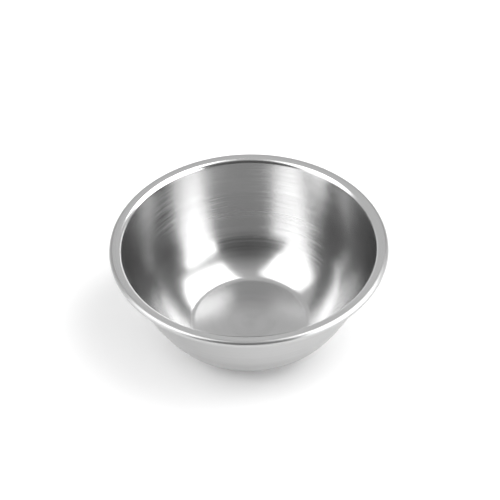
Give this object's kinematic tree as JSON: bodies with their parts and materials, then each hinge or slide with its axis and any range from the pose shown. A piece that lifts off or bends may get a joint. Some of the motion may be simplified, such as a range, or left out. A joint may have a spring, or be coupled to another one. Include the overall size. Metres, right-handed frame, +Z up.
{
  "type": "shaving bowl",
  "caption": "Small round pressed-steel lather bowl with a flat floor, a sloping wall and a rolled rim.",
  "frame": {"origin": "centre of the flat base, on the surface that the bowl stands on", "axes": "+Z up along the bowl's axis of symmetry; +X and +Y level, any pair at right angles"},
  "size_m": [0.116, 0.116, 0.048],
  "materials": {
    "steel": "satin-brushed inside and out, polished rim"
  },
  "bodies": {
    "root": {"bowl": "steel"}
  },
  "joints": []
}
